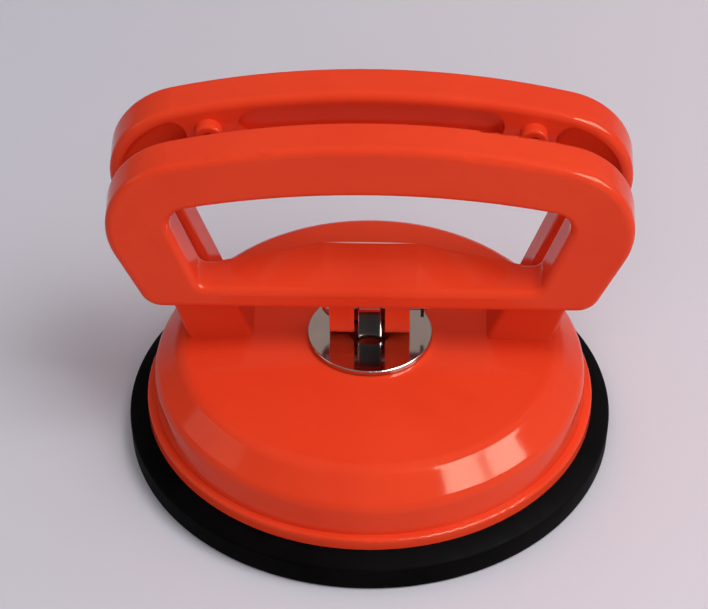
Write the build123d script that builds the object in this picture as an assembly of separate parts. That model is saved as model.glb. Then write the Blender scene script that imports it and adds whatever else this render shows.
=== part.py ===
from build123d import *
import math
import os

os.makedirs("parts", exist_ok=True)

# Single-cup suction lifter with a cam lever. Millimetres, origin on the floor under the cup's centre,
# +X along the handles, +Y towards the fixed handle, +Z up. Drawn locked: lever upright, pad pulled up.

# Rubber pad
pad_radius = 59.25           # widest, at the top of the outer wall
pad_undercut = 0.4           # the outer wall leans in by this towards the floor
pad_edge_height = 6.5        # top of the outer wall
pad_seat_height = 9.3        # plane on which the shell's flange stands
pad_seat_width = 8.0         # flat ring under the flange
pad_lip_width = 8.0          # flat sealing ring on the floor
pad_web = 4.0                # rubber thickness under the plate and in the flexing web
pad_floor_gap = 0.4          # left under the pad's centre when the lever is open
pad_edge_round = 0.6

# Pull plate, rod and return spring
plate_radius = 28.0
plate_thickness = 2.5
rod_width = 6.0              # across the lugs
rod_depth = 6.4              # front to back, also the eye's outside diameter
rod_edge = 0.6
tenon_radius = 4.0           # through the plate
rivet_radius = 6.0           # head formed under the plate
rivet_height = 1.5
collar_radius = 7.0
collar_height = 2.0
rivet_clearance = 0.3
spring_radius = 11.5         # to the wire's centre
spring_wire = 1.8
spring_turns = 4.0
spring_clearance = 0.05

# Shell
shell_wall = 3.0
flange_radius = 54.75
flange_height = 3.1
wall_radius = 52.9           # upright wall, at the flange
wall_draft = 0.2             # the wall leans in by this up to the shoulder
shoulder_height = 20.4
band_width = 6.3             # sloping band between the shoulder and the crown, seen from above
crown_height = 29.4          # beside the washer's seat
crown_drop = 1.9             # the crown falls by this out to the band,
crown_bulge = 0.23           # in an arc this much above a straight line
crown_round = 5.0
shoulder_round = 4.0
flange_round = 0.8
seat_rise = 0.3              # raised washer seat on the crown
seat_inset = 1.0             # seat inside the washer's edge
boss_wall = 3.2              # guide tube round the rod
boss_length = 7.5
rib_count = 8
rib_thickness = 2.0
rib_depth = 5.5
rib_margin = 3.0             # from the spring to the ribs
rib_root = 0.6               # inside the crown

# Cam washer, pin and lever lugs
washer_radius = 15.2
washer_thickness = 1.2
washer_bore_radius = 5.0
bore_clearance = 0.2         # the shell's bore beyond the washer's
pin_rise = 8.8               # pin axis above the washer, locked
pin_radius = 1.5
pin_clearance = 0.05
pin_head_radius = 3.3
pin_head_length = 2.0
pin_head_gap = 0.15
pin_groove_depth = 0.45
pin_tail = 0.7               # beyond the clip
clip_thickness = 0.8
clip_radius = 3.2
clip_offset = 2.6            # from the lug to the clip
clip_mouth = 1.9
clip_ring = 1.1              # width of the ring
clip_prong = 1.6
clip_clearance = 0.03
lug_gap = 7.5
lug_width = 6.0
lug_back = 5.2               # lug's rear face behind the pin
web_clearance = 0.5          # from the rod to the web that joins the lugs behind it
cam_lift = 2.6               # rod travel over the whole swing
cam_clearance = 0.25
open_angle = 70.0            # lever swing from locked to open, degrees
cam_end_angle = 90.0         # where the cam runs into the lug's flat front
cam_steps = 6                # points on the cam's curve

# Handles: both have the same arched outline
handle_height = 50.1         # both grips' top, above the lever's lower edge
handle_half_length = 63.3
handle_thickness = 11.4
handle_crown_radius = 190.0
handle_corner_radius = 20.0
side_lean = 26.0             # degrees, sides closing in towards the cup
handle_round = 2.0           # long edges of both handles
grip_height = 14.8           # the grip's bar at its middle
leg_width = 15.4             # between the window and the handle's end
window_crown_radius = 205.0
window_corner_radius = 5.0
window_low_radius = 3.0      # lower corners of the lever's window
window_lean = 20.8

# Lever
lever_front = -7.1           # Y of the face towards the user
eye_clearance = 0.4          # from the rod's eye to the lever's lower bar
lever_bottom_corner = 6.0
bar_height = 6.4             # lower bar, up to the window's sill
hump_height = 5.8            # top of the hump over the sill
ridge_half_length = 11.3
hump_inset = 10.9            # the hump's ends inside the window's half length
ridge_land = 0.8             # flat on top of the hump
hump_front_margin = 0.95     # hump's foot behind the front face
hump_sink = 1.5              # below the sill: the hump's root,
hump_foot_drop = 0.35        # the foot of its front slope,
hump_end_drop = 0.7          # and its ridge at both ends
lug_root = 2.5               # lug's root inside the bar

# Fixed handle
handle_gap = 9.4             # between lever and fixed handle
fixed_window_margin = 2.0    # its window is wider than the lever's by this on each side
leg_root = 18.0              # legs run down into the shell to this height
foot_front = 0.0             # Y of the feet's front faces
foot_height = 39.5
foot_inset = 18.3            # the feet's outer faces at the crown, from the handle's end
foot_width = 16.2
foot_inner_lean = 23.0
foot_outer_lean = 18.0
foot_round = 1.2
nub_inset = 24.3             # hollow nubs on its front face, from the handle's end
nub_radius = 3.4
nub_length = 3.2
nub_hole_radius = 1.6
nub_hole_depth = 4.0
nub_round = 0.8

# Cored pockets in the faces that the two handles turn to each other
pocket_wall = 2.6
pocket_depth = 3.0
pocket_bridge = 11.8         # from the nubs to the centre of the long pocket's round ends
corner_bridge = 9.8          # and to the centre of the corner pockets' round ends
lever_pocket_end = 58.0      # lower end of the lever's corner pockets
fixed_pocket_end = 50.0

# Worked out from the above
pad_lift = cam_lift + pad_floor_gap
plate_bottom = pad_lift + pad_web
plate_top = plate_bottom + plate_thickness
shell_bore_radius = washer_bore_radius + bore_clearance
boss_radius = shell_bore_radius + boss_wall
shoulder_radius = wall_radius - wall_draft
crown_radius = shoulder_radius - band_width
crown_edge = crown_height - crown_drop
cavity_top = crown_height - shell_wall
washer_bottom = crown_height + seat_rise
washer_top = washer_bottom + washer_thickness
pin_height = washer_top + pin_rise
lever_bottom = pin_height + rod_depth / 2 + eye_clearance
handle_top = lever_bottom + handle_height
window_top = handle_top - grip_height
sill_height = lever_bottom + bar_height
ridge_height = sill_height + hump_height
lug_face = lug_gap / 2 + lug_width
lever_back = lever_front + handle_thickness
fixed_front = lever_back + handle_gap
fixed_back = fixed_front + handle_thickness
window_half_length = handle_half_length - leg_width
seat_radius = washer_radius - seat_inset
hump_half_length = window_half_length - hump_inset
foot_outer = handle_half_length - foot_inset
foot_inner = foot_outer - foot_width
nub_x = handle_half_length - nub_inset
pocket_end_x = nub_x - pocket_bridge
corner_pocket_x = nub_x + corner_bridge
clip_x = lug_face + clip_offset
groove_radius = pin_radius - pin_groove_depth
tiny = 1e-3                  # for finding edges by their place
join = 1.0                   # reach of cutters and joined blocks past a face
on_floor = (Align.CENTER, Align.CENTER, Align.MIN)


def front_plane(y):
    return Plane(origin=(0, y, 0), x_dir=(1, 0, 0), z_dir=(0, -1, 0))


def revolve_profile(points, rounds=(), arcs=()):
    # rounds: (index of the point, radius), arcs: (index of the line's first point, rise of its middle)
    edges = [Line(a, b) for a, b in zip(points, points[1:] + points[:1])]
    for index, rise in arcs:
        a, b = points[index], points[index + 1]
        edges[index] = ThreePointArc(a, ((a[0] + b[0]) / 2, (a[1] + b[1]) / 2 + rise), b)
    face = make_face(edges).face()
    for index, radius in rounds:
        corner = face.vertices().sort_by_distance((*points[index], 0))[0]
        face = face.fillet_2d(radius, [corner])
    return revolve(Plane.XZ * face, Axis.Z, 360)


def arch_face(top, half_length, crown, corner, lean, bottom):
    # Arched outline: a crown arc, two corner arcs tangent to it, and sides leaning in to the bottom.
    lean = math.radians(lean)
    corner_x = half_length - corner
    corner_z = top - crown + math.sqrt((crown - corner) ** 2 - corner_x ** 2)
    crown_turn = math.asin(corner_x / (crown - corner))
    middle_turn = (crown_turn + math.pi / 2 + lean) / 2

    def on_corner(turn):
        return corner_x + corner * math.sin(turn), corner_z + corner * math.cos(turn)

    start, middle, end = (on_corner(t) for t in (crown_turn, middle_turn, math.pi / 2 + lean))
    foot_x = end[0] - (end[1] - bottom) * math.tan(lean)
    half = [ThreePointArc(start, middle, end), Line(end, (foot_x, bottom))]
    crown_arc = ThreePointArc((-start[0], start[1]), (0, top), start)
    base_line = Line((foot_x, bottom), (-foot_x, bottom))
    return make_face([crown_arc, base_line] + half + [mirror(edge, Plane.YZ) for edge in half]).face()


def handle_face(bottom, inset=0.0):
    return arch_face(handle_top - inset, handle_half_length - inset, handle_crown_radius - inset,
                     handle_corner_radius - inset, side_lean, bottom)


def window_face(bottom, outset=0.0, margin=0.0):
    return arch_face(window_top + outset, window_half_length + margin + outset, window_crown_radius + outset,
                     window_corner_radius + outset, window_lean, bottom)


def arc_height(top, crown, x):
    return top - crown + math.sqrt(crown ** 2 - x ** 2)


def grip_section(x):
    # Middle height and half height of the grip's bar at x.
    top = arc_height(handle_top, handle_crown_radius, x)
    low = arc_height(window_top, window_crown_radius, x)
    return (top + low) / 2, (top - low) / 2


def pocket_faces(window_margin, low_end):
    # A long pocket in the grip and one in each corner, an even wall away from the outline and the window.
    wall = handle_face(0, pocket_wall) - window_face(-1, pocket_wall, window_margin)

    def round_end(x):
        middle, half = grip_section(x)
        return Pos(x, middle) * Circle(half - pocket_wall)

    grip_cut = Pos(0, handle_top) * Rectangle(2 * pocket_end_x, handle_top)
    for x in (-pocket_end_x, pocket_end_x):
        grip_cut += round_end(x)
    corner_cut = Pos(corner_pocket_x, low_end) * Rectangle(handle_top, handle_top, align=(Align.MIN, Align.MIN))
    corner_cut += round_end(corner_pocket_x)
    return [wall & cut for cut in (grip_cut, corner_cut, mirror(corner_cut, Plane.YZ))]


def rounded_bar(face, y_back, low):
    # Extrudes the outline to the front and rounds the edges of both faces above the given height.
    bar = extrude(front_plane(y_back) * face, handle_thickness)
    for y in (y_back, y_back - handle_thickness):
        rim = [e for e in bar.edges() if abs(e.center().Y - y) < tiny and abs(e.position_at(0).Y - y) < tiny
               and e.center().Z > low]
        bar = fillet(rim, handle_round)
    return bar


def rubber_pad():
    lip_inner = pad_radius - pad_undercut - pad_lip_width
    seat_outer = flange_radius - pad_edge_round / 2
    seat_inner = seat_outer - pad_seat_width
    web_end = seat_inner - join
    web_low = pad_lift * (lip_inner - web_end) / (lip_inner - plate_radius)
    points = [(0, pad_lift), (plate_radius, pad_lift), (lip_inner, 0), (pad_radius - pad_undercut, 0),
              (pad_radius, pad_edge_height), (seat_outer, pad_seat_height), (seat_inner, pad_seat_height),
              (web_end, pad_web + web_low), (plate_radius + join, plate_bottom),
              (rivet_radius + rivet_clearance, plate_bottom),
              (rivet_radius + rivet_clearance, plate_bottom - rivet_height - rivet_clearance),
              (0, plate_bottom - rivet_height - rivet_clearance)]
    return revolve_profile(points, [(3, pad_edge_round), (4, pad_edge_round)])


def pull_plate():
    disc = Cylinder(plate_radius, plate_thickness, align=on_floor)
    return Pos(0, 0, plate_bottom) * (disc - Cylinder(tenon_radius + pin_clearance, 3 * plate_thickness))


def pull_rod():
    # Flat eye above, collar on the plate, tenon through it and a riveted head below.
    head_low, collar_top = plate_bottom - rivet_height, plate_top + collar_height
    turned = revolve_profile([(0, head_low), (rivet_radius - rod_edge, head_low),
                              (rivet_radius, plate_bottom - rod_edge), (rivet_radius, plate_bottom),
                              (tenon_radius, plate_bottom), (tenon_radius, plate_top),
                              (collar_radius, plate_top), (collar_radius, collar_top), (0, collar_top)])
    eye = extrude(Plane.YZ * (Pos(0, pin_height) * Circle(rod_depth / 2)), rod_width / 2, both=True)
    shank_low = plate_top + collar_height / 2
    shank = Pos(0, 0, (shank_low + pin_height) / 2) * Box(rod_width, rod_depth, pin_height - shank_low)
    bar = shank + eye
    sides = [e for e in bar.edges() if abs(abs(e.center().X) - rod_width / 2) < tiny
             and e.center().Z > shank_low + tiny]
    bar = fillet(sides, rod_edge)
    bore = Pos(0, 0, pin_height) * Rot(0, 90, 0) * Cylinder(pin_radius + pin_clearance, 2 * rod_width)
    return turned + bar - bore


def return_spring():
    wire = spring_wire / 2
    low = plate_top + wire + spring_clearance
    rise = cavity_top - plate_top - spring_wire - 2 * spring_clearance
    coil = Helix(rise / spring_turns, rise, spring_radius)
    start = Plane(origin=coil @ 0, z_dir=coil % 0)
    return Pos(0, 0, low) * sweep(start * Circle(wire), path=coil, is_frenet=True)


def cam_washer():
    rim = washer_thickness / 4
    points = [(washer_bore_radius, washer_bottom), (washer_radius, washer_bottom), (washer_radius, washer_top),
              (washer_bore_radius, washer_top)]
    return revolve_profile(points, [(2, rim), (3, rim)])


def shell_cup():
    flange_top = pad_seat_height + flange_height
    points = [(0, washer_bottom), (seat_radius, washer_bottom), (seat_radius + seat_rise, crown_height),
              (crown_radius, crown_edge), (shoulder_radius, shoulder_height), (wall_radius, flange_top),
              (flange_radius, flange_top), (flange_radius, pad_seat_height), (0, pad_seat_height)]
    rounds = [(3, crown_round), (4, shoulder_round), (6, flange_round)]
    return revolve_profile(points, rounds, [(2, crown_bulge)])


def shell_cavity():
    inner_wall = wall_radius - shell_wall
    points = [(0, pad_seat_height - join), (inner_wall, pad_seat_height - join),
              (shoulder_radius - shell_wall, shoulder_height - shell_wall / 2),
              (crown_radius - shell_wall / 2, crown_edge - shell_wall), (seat_radius, cavity_top),
              (0, cavity_top)]
    return revolve_profile(points)


def fixed_handle():
    outline = handle_face(leg_root) - window_face(leg_root, 0, fixed_window_margin)
    arch = rounded_bar(outline, fixed_back, leg_root + join)
    for pocket in pocket_faces(fixed_window_margin, fixed_pocket_end):
        arch -= extrude(front_plane(fixed_front + pocket_depth) * pocket, pocket_depth + join)
    nub = Rot(90, 0, 0) * Cylinder(nub_radius, nub_length + join, align=on_floor)
    nub = fillet(nub.edges().sort_by(Axis.Y)[0], nub_round)
    hole = Pos(0, nub_hole_depth - nub_length - join, 0) * Rot(90, 0, 0) * Cylinder(
        nub_hole_radius, nub_hole_depth + join, align=on_floor)
    for side in (-1, 1):
        place = Pos(side * nub_x, fixed_front + join, grip_section(nub_x)[0])
        arch = arch + place * nub - place * hole
    return arch


def handle_foot(side):
    # Block under the lever's bar that spreads the leg's load over the crown.
    low = leg_root
    rise_low = low - crown_height
    rise_top = foot_height - crown_height
    inner, outer = math.tan(math.radians(foot_inner_lean)), math.tan(math.radians(foot_outer_lean))
    points = [(foot_inner + rise_low * inner, low), (foot_outer + rise_low * outer, low),
              (foot_outer + rise_top * outer, foot_height), (foot_inner + rise_top * inner, foot_height)]
    face = make_face(Polyline(*[(side * x, z) for x, z in points], close=True))
    depth = fixed_front + join - foot_front
    block = extrude(front_plane(foot_front + depth) * face, depth)
    front = [e for e in block.edges() if abs(e.center().Y - foot_front) < tiny and e.center().Z > low + join]
    top = [e for e in block.edges() if abs(e.center().Z - foot_height) < tiny
           and abs(e.center().Y - foot_front - depth / 2) < join]
    return fillet(front + top, foot_round)


def base_shell():
    body = shell_cup() + fixed_handle()
    for side in (-1, 1):
        body += handle_foot(side)
    body -= shell_cavity()
    boss_low = cavity_top - boss_length
    body += Pos(0, 0, boss_low) * Cylinder(boss_radius, boss_length + shell_wall / 2, align=on_floor)
    rib_start = spring_radius + spring_wire / 2 + rib_margin
    rib_length = crown_radius - shell_wall - rib_start
    rib = Box(rib_length, rib_thickness, rib_depth + rib_root, align=(Align.MIN, Align.CENTER, Align.MIN))
    for turn in range(rib_count):
        body += Rot(0, 0, 360 / rib_count * (turn + 0.5)) * Pos(rib_start, 0, cavity_top - rib_depth) * rib
    return body - Pos(0, 0, crown_height) * Cylinder(shell_bore_radius, 4 * (boss_length + shell_wall))


def cam_lug(x_low):
    # The cam's height under the pin falls evenly with the swing: h = locked - rate * turn, and its
    # outline is the envelope of the washer's face seen from the turning lever.
    locked = pin_rise - cam_clearance
    rate = cam_lift / math.radians(open_angle)

    def cam_point(turn):
        height = locked - rate * turn
        return (-height * math.sin(turn) + rate * math.cos(turn),
                -height * math.cos(turn) - rate * math.sin(turn))

    end = math.radians(cam_end_angle)
    steps = [cam_point(end * i / cam_steps) for i in range(cam_steps + 1)]
    front, top = steps[-1][0], lever_bottom + lug_root - pin_height
    edges = [Line((lug_back, -locked), steps[0]), Spline(*steps), Line(steps[-1], (front, top)),
             Line((front, top), (lug_back, top)), Line((lug_back, top), (lug_back, -locked))]
    lug = extrude(Plane.YZ * make_face(edges), lug_width)
    return Pos(x_low, 0, pin_height) * lug


def lug_web():
    # Wall between the two lugs, behind the rod.
    front = rod_depth / 2 + web_clearance
    low, top = pin_height - pin_rise + cam_clearance, lever_bottom + lug_root
    return Pos(0, (front + lug_back) / 2, (low + top) / 2) * Box(lug_gap + join, lug_back - front, top - low)


def lever_hump():
    # Ruled block on the window's sill: a front slope, from the sill's rounded edge up to a narrow ridge.
    foot_y = lever_front + hump_front_margin
    foot = sill_height - hump_foot_drop
    root = sill_height - hump_sink
    end_height = sill_height - hump_end_drop
    sections = []
    for x, top in ((-hump_half_length, end_height), (-ridge_half_length, ridge_height),
                   (ridge_half_length, ridge_height), (hump_half_length, end_height)):
        points = [(foot_y, foot), (lever_back - ridge_land, top), (lever_back, top), (lever_back, root),
                  (foot_y, root)]
        sections.append(Plane.YZ.offset(x) * make_face(Polyline(*points, close=True)))
    return loft(sections, ruled=True)


def lever_handle():
    outline = handle_face(lever_bottom)
    low_corners = outline.vertices().group_by(Axis.Y)[0]
    outline = outline.fillet_2d(lever_bottom_corner, low_corners)
    window = window_face(sill_height)
    window = window.fillet_2d(window_low_radius, window.vertices().group_by(Axis.Y)[0])
    body = rounded_bar(outline - window, lever_back, lever_bottom - join)
    body += lever_hump()
    for pocket in pocket_faces(0.0, lever_pocket_end):
        body -= extrude(front_plane(lever_back + join) * pocket, pocket_depth + join)
    for x_low in (-lug_face, lug_gap / 2):
        body += cam_lug(x_low)
    body += lug_web()
    bore = Pos(0, 0, pin_height) * Rot(0, 90, 0) * Cylinder(pin_radius + pin_clearance, 4 * lug_face)
    return body - bore


def pivot_pin():
    # Domed head on the left, groove for the clip on the right.
    head = -lug_face - pin_head_gap
    tail = clip_x + clip_thickness + pin_tail
    cap = (pin_head_radius ** 2 + pin_head_length ** 2) / (2 * pin_head_length)
    half = math.asin(pin_head_radius / cap) / 2
    dome = (head - pin_head_length + cap * (1 - math.cos(half)), cap * math.sin(half))
    edges = [ThreePointArc((head - pin_head_length, 0), dome, (head, pin_head_radius))]
    groove_start, groove_end = clip_x - clip_clearance, clip_x + clip_thickness + clip_clearance
    outline = [(head, pin_head_radius), (head, pin_radius), (groove_start, pin_radius),
               (groove_start, groove_radius), (groove_end, groove_radius), (groove_end, pin_radius),
               (tail, pin_radius), (tail, 0), (head - pin_head_length, 0)]
    edges += [Line(a, b) for a, b in zip(outline, outline[1:])]
    return Pos(0, 0, pin_height) * revolve(Plane.XZ * make_face(edges), Axis.X, 360)


def retaining_clip():
    # E-shaped ring with three prongs that reach into the pin's groove.
    reach = clip_radius - clip_ring / 2
    ring = Circle(clip_radius) - Circle(clip_radius - clip_ring)
    prong = Pos(0, reach / 2) * Rectangle(clip_prong, reach)
    for turn in (-90, 0, 90):
        ring += Rot(0, 0, turn) * prong
    ring -= Circle(groove_radius + clip_clearance)
    ring -= Pos(0, -clip_radius) * Rectangle(clip_mouth, clip_radius)
    return Pos(clip_x, 0, pin_height) * extrude(Plane.YZ * ring, clip_thickness)


makers = (rubber_pad, pull_plate, pull_rod, return_spring, base_shell, cam_washer, lever_handle, pivot_pin,
          retaining_clip)
for make in makers:
    export_step(make(), f"parts/{make.__name__}.step")
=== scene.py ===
import bpy
import math
from mathutils import Matrix, Vector


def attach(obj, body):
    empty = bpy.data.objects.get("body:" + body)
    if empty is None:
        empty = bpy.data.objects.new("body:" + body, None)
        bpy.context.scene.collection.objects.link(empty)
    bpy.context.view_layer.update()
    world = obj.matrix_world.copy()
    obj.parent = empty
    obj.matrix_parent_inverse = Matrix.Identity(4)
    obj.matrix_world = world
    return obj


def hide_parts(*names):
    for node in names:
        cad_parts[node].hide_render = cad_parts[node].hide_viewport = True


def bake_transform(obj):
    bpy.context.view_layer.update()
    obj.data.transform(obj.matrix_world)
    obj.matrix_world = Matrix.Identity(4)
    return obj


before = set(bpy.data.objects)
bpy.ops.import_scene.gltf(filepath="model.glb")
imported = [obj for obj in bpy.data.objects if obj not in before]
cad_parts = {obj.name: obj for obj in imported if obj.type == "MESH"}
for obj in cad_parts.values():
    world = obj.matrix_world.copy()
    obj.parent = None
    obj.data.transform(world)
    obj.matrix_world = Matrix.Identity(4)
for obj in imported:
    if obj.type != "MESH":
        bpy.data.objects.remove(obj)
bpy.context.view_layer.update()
mm = 0.001
mergeReach, pickReach = 0.01, 0.02  # mm
print("frame loaded:", ", ".join(sorted(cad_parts)))


def toObjectMode():
    if bpy.context.mode != "OBJECT":
        bpy.ops.object.mode_set(mode="OBJECT")
    bpy.ops.object.select_all(action="DESELECT")


def startPen(name, point):  # one vertex, from which a line is drawn with extrude
    toObjectMode()
    bpy.ops.mesh.primitive_plane_add(size=mm)
    piece = bpy.context.object
    piece.name = piece.data.name = name
    bpy.ops.object.mode_set(mode="EDIT")
    bpy.ops.mesh.select_mode(type="VERT")
    bpy.ops.mesh.merge(type="CENTER")
    bpy.ops.transform.translate(value=Vector(point) * mm)
    return piece


def penTo(*step):
    bpy.ops.mesh.extrude_region_move(TRANSFORM_OT_translate={"value": Vector(step) * mm})


def drawProfile(name, points):  # closed line in the XZ plane, points are (radius, height)
    piece = startPen(name, (points[0][0], 0, points[0][1]))
    for here, there in zip(points, points[1:] + points[:1]):
        penTo(there[0] - here[0], 0, there[1] - here[1])
    return piece


def turnRound(steps):  # spins the drawn profile about the upright axis
    bpy.ops.mesh.select_all(action="SELECT")
    bpy.ops.mesh.spin(steps=steps, angle=2 * math.pi, center=(0, 0, 0), axis=(0, 0, 1))
    bpy.ops.mesh.select_all(action="SELECT")
    bpy.ops.mesh.remove_doubles(threshold=mergeReach * mm)
    bpy.ops.mesh.normals_make_consistent(inside=False)


def pickEdges(piece, test):  # selects the edges whose two ends both pass the test
    bpy.ops.object.mode_set(mode="EDIT")
    bpy.ops.mesh.select_mode(type="EDGE")
    bpy.ops.mesh.select_all(action="DESELECT")
    bpy.ops.object.mode_set(mode="OBJECT")
    places = [v.co / mm for v in piece.data.vertices]
    for edge in piece.data.edges:
        edge.select = all(test(places[i]) for i in edge.vertices)
    bpy.ops.object.mode_set(mode="EDIT")


def roundRing(piece, radius, height, size, segments):  # rounds one turned edge
    def onRing(p):
        return abs(math.hypot(p.x, p.y) - radius) < pickReach and abs(p.z - height) < pickReach
    pickEdges(piece, onRing)
    bpy.ops.mesh.bevel(offset=size * mm, segments=segments, affect="EDGES")


def finishPiece(piece, body, material, angle=35):  # angle in degrees, flatter edges are shaded smooth
    toObjectMode()
    piece.select_set(True)
    bpy.context.view_layer.objects.active = piece
    bpy.ops.object.transform_apply(location=True, rotation=True, scale=True)
    bpy.ops.object.shade_smooth_by_angle(angle=math.radians(angle))
    piece.data.materials.clear()
    piece.data.materials.append(material)
    if body:
        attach(piece, body)


class Wire:  # a shader socket that sums and products can be written with
    def __init__(self, tree, socket=None):
        self.tree, self.socket = tree, socket

    def node(self, kind, settings, inputs, out=0):  # any node: settings first, then values or links
        made = self.tree.nodes.new("ShaderNode" + kind)
        for name, value in settings.items():
            if name == "stops":
                elements = made.color_ramp.elements
                while len(elements) < len(value):
                    elements.new(0.5)
                for stop, (place, grey) in zip(elements, value):
                    stop.position, stop.color = place, (grey, grey, grey, 1)
            else:
                setattr(made, name, value)
        for name, value in inputs.items():
            if isinstance(value, Wire):
                self.tree.links.new(value.socket, made.inputs[name])
            else:
                made.inputs[name].default_value = value
        return Wire(self.tree, made.outputs[out])

    def feed(self, shader, socket):
        self.tree.links.new(self.socket, shader.inputs[socket])

    def maths(self, operation, first, second):
        return self.node("Math", {"operation": operation}, {0: first, 1: second})

    def __add__(self, other):
        return self.maths("ADD", self, other)

    def __sub__(self, other):
        return self.maths("SUBTRACT", self, other)

    def __rsub__(self, other):
        return self.maths("SUBTRACT", other, self)

    def __mul__(self, other):
        return self.maths("MULTIPLY", self, other)

    def __pow__(self, other):
        return self.maths("POWER", self, other)

    __radd__, __rmul__ = __add__, __mul__


def startMaterial(name, constants):
    material = bpy.data.materials.new(name)
    material.use_nodes = True
    shader = material.node_tree.nodes["Principled BSDF"]
    for socket, value in constants.items():
        shader.inputs[socket].default_value = value
    return material, shader, Wire(material.node_tree).node("TexCoord", {}, {}, out="Object")


def axes(coord, wanted="XYZ"):
    return [coord.node("SeparateXYZ", {}, {"Vector": coord}, out=axis) for axis in wanted]


def noise(coord, scale, detail, **more):
    return coord.node("TexNoise", {}, {"Vector": coord, "Scale": scale, "Detail": detail, **more})


def ramp(wire, low, high):  # black below low, white above high
    return wire.node("ValToRGB", {"stops": ((low, 0), (high, 1))}, {"Fac": wire})


def smoothRise(wire, low, high):  # 0 below low, 1 above high
    ends = {"From Min": low, "From Max": high}
    return wire.node("MapRange", {"interpolation_type": "SMOOTHSTEP"}, {"Value": wire, **ends})


def blendColours(factor, first, second):  # each colour is a wire or three numbers
    first, second = (c if isinstance(c, Wire) else (*c, 1) for c in (first, second))
    return factor.node("Mix", {"data_type": "RGBA"}, {0: factor, 6: first, 7: second}, out=2)


def addBump(shader, height, strength, distance):
    sizes = {"Strength": strength, "Distance": distance * mm}
    height.node("Bump", {}, {"Height": height, **sizes}).feed(shader, "Normal")


plastic = {"deep": (0.785, 0.049, 0.015), "bright": (0.845, 0.060, 0.019),
           "gloss": 0.12, "sheen": (0.6, 1.0, 0.76),
           "flow": (28, 3), "flowTwist": 0.6, "flowEnds": (0.3, 0.7),  # each noise is (scale, detail)
           "handled": (75, 4), "grain": (900, 2),
           "roughness": (0.07, 0.06, 0.02),  # plain level, then the share of each noise
           "peel": (260, 2), "peelBump": (0.03, 0.3)}  # each bump is (strength, mm)
# band and colour of the painted highlight on the hump's ridge
ridge = {"front": 3.85, "bottom": 55.4, "top": 55.7, "fade": 0.08, "half": 3.0, "end": 12.5,
         "colour": (1.0, 0.70, 0.64)}


def ridgeHighlightMask(coord):  # painted highlight: 1 in a thin band on the hump's ridge under the grip
    p = ridge
    x, y, z = axes(coord)
    middle = 1 - smoothRise((x * x) ** 0.5, p["half"] * mm, p["end"] * mm)
    rear = smoothRise(y, p["front"] * mm, (p["front"] + p["fade"]) * mm)
    above = smoothRise(z, p["bottom"] * mm, (p["bottom"] + p["fade"]) * mm)
    below = 1 - smoothRise(z, p["top"] * mm, (p["top"] + p["fade"]) * mm)
    return middle * rear * above * below


def makePlastic(name, withRidgeHighlight):  # glossy moulded plastic with faint flow marks and orange peel
    p = plastic
    sheen = {"Specular IOR Level": p["gloss"], "Specular Tint": (*p["sheen"], 1)}
    material, shader, coord = startMaterial(name, sheen)
    flow = noise(coord, *p["flow"], Distortion=p["flowTwist"])
    colour = blendColours(ramp(flow, *p["flowEnds"]), p["deep"], p["bright"])
    if withRidgeHighlight:  # painted highlight, a pale line where the ridge catches the light
        colour = blendColours(ridgeHighlightMask(coord), colour, ridge["colour"])
    colour.feed(shader, "Base Color")
    plain, handled, grain = p["roughness"]
    roughness = plain + handled * noise(coord, *p["handled"]) + grain * noise(coord, *p["grain"])
    roughness.feed(shader, "Roughness")
    addBump(shader, noise(coord, *p["peel"]), *p["peelBump"])
    return material


rubber = {"dark": (0.0012, 0.0009, 0.001), "worn": (0.0034, 0.0028, 0.003), "gloss": 0.025,
          "bloom": (55, 5), "bloomEnds": (0.35, 0.75), "patchy": (260, 3), "roughness": (0.5, 0.2),
          "grain": (1500, 3), "grainBump": (0.25, 0.12)}


def makeRubber(name):  # matt moulded rubber with a dusty bloom
    p = rubber
    material, shader, coord = startMaterial(name, {"Specular IOR Level": p["gloss"]})
    bloom = ramp(noise(coord, *p["bloom"]), *p["bloomEnds"])
    blendColours(bloom, p["dark"], p["worn"]).feed(shader, "Base Color")
    plain, patchy = p["roughness"]
    (plain + patchy * noise(coord, *p["patchy"])).feed(shader, "Roughness")
    addBump(shader, noise(coord, *p["grain"]), *p["grainBump"])
    return material


chrome = {"low": (0.46, 0.445, 0.435), "high": (0.54, 0.525, 0.515), "smudge": (160, 4),
          "turning": (2600, 2.0), "roughness": (0.07, 0.08, 0.04), "turningBump": (0.05, 0.05)}


def makeChrome(name):  # plated washer, with turning marks round its bore
    p = chrome
    material, shader, coord = startMaterial(name, {"Metallic": 1.0})
    x, y = axes(coord, "XY")
    rings = {"W": (x * x + y * y) ** 0.5, "Scale": p["turning"][0], "Detail": p["turning"][1]}
    turning = coord.node("TexNoise", {"noise_dimensions": "1D"}, rings)
    smudge = noise(coord, *p["smudge"])
    blendColours(smudge, p["low"], p["high"]).feed(shader, "Base Color")
    plain, smudged, turned = p["roughness"]
    (plain + smudged * smudge + turned * turning).feed(shader, "Roughness")
    addBump(shader, turning, *p["turningBump"])
    return material


steel = {"grain": (1400, 3), "grainRough": 0.12, "grainBump": (0.08, 0.06), "tone": (120, 3)}
steelTypes = {  # low and high colour, roughness, stretch of the grain along Z
    "polishedSteel": ((0.40, 0.385, 0.375), (0.48, 0.465, 0.455), 0.10, 0.05),
    "rodSteel": ((0.42, 0.40, 0.39), (0.52, 0.50, 0.49), 0.10, 0.05),
    "zincSteel": ((0.42, 0.42, 0.43), (0.52, 0.52, 0.53), 0.26, 0.4),
}
# painted reflection of the orange plastic on the rod's eye
eyeReflection = {"on": "rodSteel", "bottom": 38.5, "top": 39.1, "colour": (0.50, 0.115, 0.08)}


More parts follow.
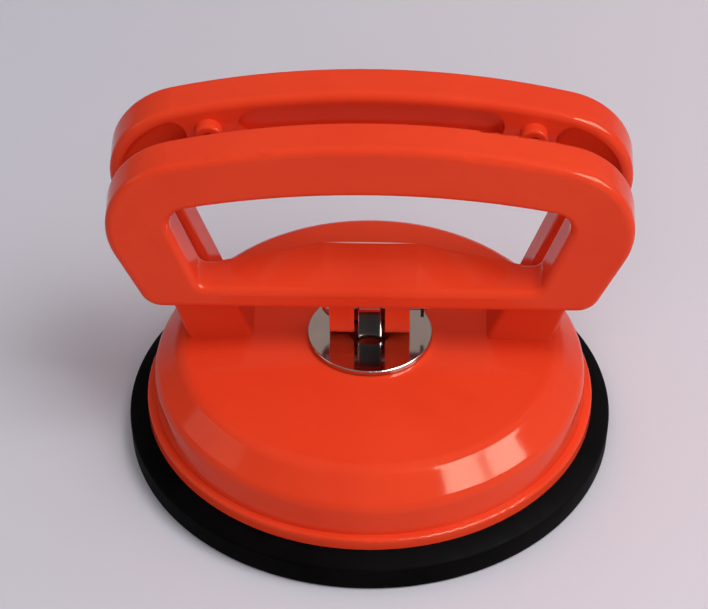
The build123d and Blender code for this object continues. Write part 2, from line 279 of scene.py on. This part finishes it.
def makeSteel(name):  # drawn steel, the grain runs along Z
    p = steel
    low, high, rough, stretch = steelTypes[name]
    material, shader, coord = startMaterial(name, {"Metallic": 1.0})
    drawn = coord.node("Mapping", {}, {"Vector": coord, "Scale": (1, 1, stretch)})
    grain = noise(drawn, *p["grain"])
    colour = blendColours(noise(coord, *p["tone"]), low, high)
    if name == eyeReflection["on"]:  # painted reflection: the rod's eye takes the colour of the orange plastic round it
        height, = axes(coord, "Z")
        inEye = smoothRise(height, eyeReflection["bottom"] * mm, eyeReflection["top"] * mm)
        colour = blendColours(inEye, colour, eyeReflection["colour"])
    colour.feed(shader, "Base Color")
    (rough + p["grainRough"] * grain).feed(shader, "Roughness")
    addBump(shader, grain, *p["grainBump"])
    return material


clipSteel = {"low": (0.012, 0.012, 0.013), "high": (0.035, 0.034, 0.034), "metal": 0.6,
             "worn": (500, 4), "wornEnds": (0.45, 0.8), "patchy": (900, 2), "roughness": (0.32, 0.2)}


def makeClipSteel(name):  # blackened spring steel, worn a little brighter in places
    p = clipSteel
    material, shader, coord = startMaterial(name, {"Metallic": p["metal"]})
    worn = ramp(noise(coord, *p["worn"]), *p["wornEnds"])
    blendColours(worn, p["low"], p["high"]).feed(shader, "Base Color")
    plain, patchy = p["roughness"]
    (plain + patchy * noise(coord, *p["patchy"])).feed(shader, "Roughness")
    return material


orangePlastic = makePlastic("orangePlastic", False)
leverPlastic = makePlastic("leverPlastic", True)
blackRubber = makeRubber("blackRubber")
chromePlate = makeChrome("chromePlate")
polishedSteel, rodSteel, zincSteel = (makeSteel(name) for name in steelTypes)
blackSteel = makeClipSteel("blackSteel")

finishes = {"base_shell": orangePlastic, "lever_handle": leverPlastic, "cam_washer": chromePlate,
            "pull_rod": rodSteel, "pivot_pin": polishedSteel, "retaining_clip": blackSteel,
            "pull_plate": zincSteel, "return_spring": zincSteel}
for nodeName, finish in finishes.items():
    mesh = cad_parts[nodeName].data
    mesh.materials.clear()
    mesh.materials.append(finish)
print("finishes on the frame:", len(finishes))


padRing = {"lipInner": 50.85, "foot": 58.85, "edge": 59.25, "edgeHeight": 6.5, "seatOuter": 54.45,
           "seatInner": 46.45, "seatHeight": 9.3, "webHeight": 4.71, "webRadius": 45.45, "webLow": 0.71,
           "footRound": 0.8, "footSegments": 4, "edgeRound": 0.7, "edgeSegments": 5, "steps": 192}


def makePadRing():  # outer rubber, from the sealing lip up to the seat under the flange
    p = padRing
    ring = drawProfile("pad_ring", [
        (p["lipInner"], 0), (p["foot"], 0), (p["edge"], p["edgeHeight"]), (p["seatOuter"], p["seatHeight"]),
        (p["seatInner"], p["seatHeight"]), (p["webRadius"], p["webHeight"]), (p["webRadius"], p["webLow"])])
    turnRound(p["steps"])
    roundRing(ring, p["foot"], 0, p["footRound"], p["footSegments"])
    roundRing(ring, p["edge"], p["edgeHeight"], p["edgeRound"], p["edgeSegments"])
    finishPiece(ring, "base", blackRubber)
    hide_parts("rubber_pad")
    return ring


membrane = {"lift": 3.0, "flat": 28.0, "outer": 47.5, "thickness": 4.0, "rings": 9, "steps": 192}


def makeMembrane():  # flexing underside, which the plate pulls up into a dome
    p = membrane
    slope = p["lift"] / (padRing["lipInner"] - p["flat"])
    edge = slope * (padRing["lipInner"] - p["outer"])
    skin = startPen("pad_membrane", (p["outer"], 0, edge))
    for k in range(p["rings"]):  # cosine run from the lip up to the flat
        here, there = ((1 - math.cos(math.pi * i / p["rings"])) / 2 for i in (k, k + 1))
        penTo((p["flat"] - p["outer"]) / p["rings"], 0, (p["lift"] - edge) * (there - here))
    penTo(-p["flat"], 0, 0)
    turnRound(p["steps"])
    toObjectMode()
    skin.select_set(True)
    thick = skin.modifiers.new("thickness", "SOLIDIFY")
    thick.thickness, thick.offset = p["thickness"] * mm, 1
    bpy.ops.object.modifier_apply(modifier=thick.name)
    finishPiece(skin, None, blackRubber)
    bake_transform(skin)
    return skin


padParts = [makePadRing(), makeMembrane()]
print("rubber pad:", [len(o.data.polygons) for o in padParts])


# the left and right floor colours hold painted light, lighter towards the lamps
floorDisc = {"radius": 4.0, "sides": 96, "ior": 1.4,  # radius in m
             "left": (0.59, 0.585, 0.65), "right": (0.695, 0.645, 0.70), "reach": 90.0,
             "cloud": (9, 2), "cloudShift": 0.02, "grain": (40, 2), "roughness": (0.6, 0.1)}


def makeFloor():
    p = floorDisc
    toObjectMode()
    bpy.ops.mesh.primitive_circle_add(vertices=p["sides"], radius=p["radius"], fill_type="NGON")
    floor = bpy.context.object
    floor.name = floor.data.name = "floor"
    material, shader, coord = startMaterial("paleFloor", {"IOR": p["ior"]})
    across, = axes(coord, "X")
    # painted light: the floor is lighter and warmer towards the right, where the lamps stand
    clouded = across + p["cloudShift"] * noise(coord, *p["cloud"])
    ends = {"From Min": -p["reach"] * mm, "From Max": p["reach"] * mm}
    tone = across.node("MapRange", {}, {"Value": clouded, **ends})
    blendColours(tone, p["left"], p["right"]).feed(shader, "Base Color")
    plain, grainy = p["roughness"]
    (plain + grainy * noise(coord, *p["grain"])).feed(shader, "Roughness")
    floor.data.materials.append(material)


camera = {"azimuth": 1.15, "elevation": 40.954, "distance": 1190.9, "lens": 249.04, "sensor": 36.0,
          "aim": (-3.875, 0, 39.252)}


def cameraDirection():  # from the object towards the camera
    a, e = math.radians(camera["azimuth"]), math.radians(camera["elevation"])
    return Vector((math.sin(a) * math.cos(e), -math.cos(a) * math.cos(e), math.sin(e)))


def makeCamera():
    back = cameraDirection()
    toObjectMode()
    bpy.ops.object.camera_add()
    eye = bpy.context.object
    eye.data.lens, eye.data.sensor_width = camera["lens"], camera["sensor"]
    eye.location = (Vector(camera["aim"]) + back * camera["distance"]) * mm
    eye.rotation_mode = "QUATERNION"
    eye.rotation_quaternion = (-back).to_track_quat("-Z", "Y")
    bpy.context.scene.camera = eye


sky = {"colour": (1.0, 0.97, 1.0), "warm": (1.0, 0.77, 0.69), "around": 0.18,
       "overhead": (0.31, 0.6, 0.95), "right": (0.18, 0, 0.9),  # change of level, begins at, full at
       "behindPart": (0.25, 0.88, 0.97), "behindCamera": (-0.88, 0.93, 0.985)}


def makeWorld():
    world = bpy.data.worlds.new("studio")
    bpy.context.scene.world = world
    world.use_nodes = True
    background = world.node_tree.nodes["Background"]
    towards = Wire(world.node_tree).node("TexCoord", {}, {}, out="Generated")
    x, y, z = axes(towards)
    eye = cameraDirection()
    mirrored = z * eye.z - x * eye.x - y * eye.y  # what a level face, such as the washer, reflects
    behindPart = smoothRise(mirrored, *sky["behindPart"][1:])
    behindCamera = smoothRise(x * eye.x + y * eye.y + z * eye.z, *sky["behindCamera"][1:])
    level = sky["around"] + sky["overhead"][0] * smoothRise(z, *sky["overhead"][1:])
    level = level + sky["right"][0] * smoothRise(x, *sky["right"][1:]) + sky["behindPart"][0] * behindPart
    blendColours(behindPart, sky["colour"], sky["warm"]).feed(background, "Color")
    (level * (1 + sky["behindCamera"][0] * behindCamera)).feed(background, "Strength")


softboxes = {  # towards the lamp, distance in m, width and height in m, watts, what it shows in
    "keySoft": ((0.35, -0.2, 0.92), 1.3, 0.7, 0.5, 7.3, "diffuse"),
    "rightSoft": ((0.66, -0.36, 0.66), 1.2, 0.6, 0.36, 1.6, "diffuse"),
    "topSoft": ((0.1, 0.45, 0.89), 1.3, 0.8, 0.6, 0.7, "diffuse"),
    "frontSoft": ((-0.05, -0.80, 0.60), 1.3, 0.8, 0.6, 3.5, "diffuse"),
    "panelRight": ((0.835, -0.157, 0.549), 1.2, 0.36, 0.52, 15.3, "glossy"),
    "panelLeft": ((0.601, -0.447, 0.654), 1.2, 0.36, 0.52, 15.3, "glossy"),
    "panelMiddle": ((0.728, -0.308, 0.608), 1.21, 0.12, 0.52, 2.1, "glossy"),
    "leftFill": ((-0.9, -0.03, 0.41), 1.4, 0.85, 0.4, 1.7, "glossy"),
}
longSides = {"right": (0.4, 0.5, -0.18), "left": (0.12, -0.54, 0.23)}  # which way a lamp's width runs
lampAim = (0, 0, 30)


def makeSoftbox(name, towards, distance, width, height, watts, shows):
    toObjectMode()
    back = Vector(towards).normalized()
    along = Vector(longSides["right" if back.x > 0 else "left"])
    side = (along - back * back.dot(along)).normalized()
    bpy.ops.object.light_add(type="AREA")
    lamp = bpy.context.object
    lamp.name = lamp.data.name = name
    lamp.data.shape = "RECTANGLE"
    lamp.data.size, lamp.data.size_y, lamp.data.energy = width, height, watts
    lamp.visible_diffuse, lamp.visible_glossy = shows == "diffuse", shows == "glossy"
    turn = Matrix((side, back.cross(side), back)).transposed()
    lamp.matrix_world = Matrix.Translation(Vector(lampAim) * mm + back * distance) @ turn.to_4x4()


makeFloor()
makeWorld()
for lampName, values in softboxes.items():
    makeSoftbox(lampName, *values)
makeCamera()
bpy.context.scene.view_settings.view_transform = "Standard"
print("studio:", len(softboxes), "softboxes")
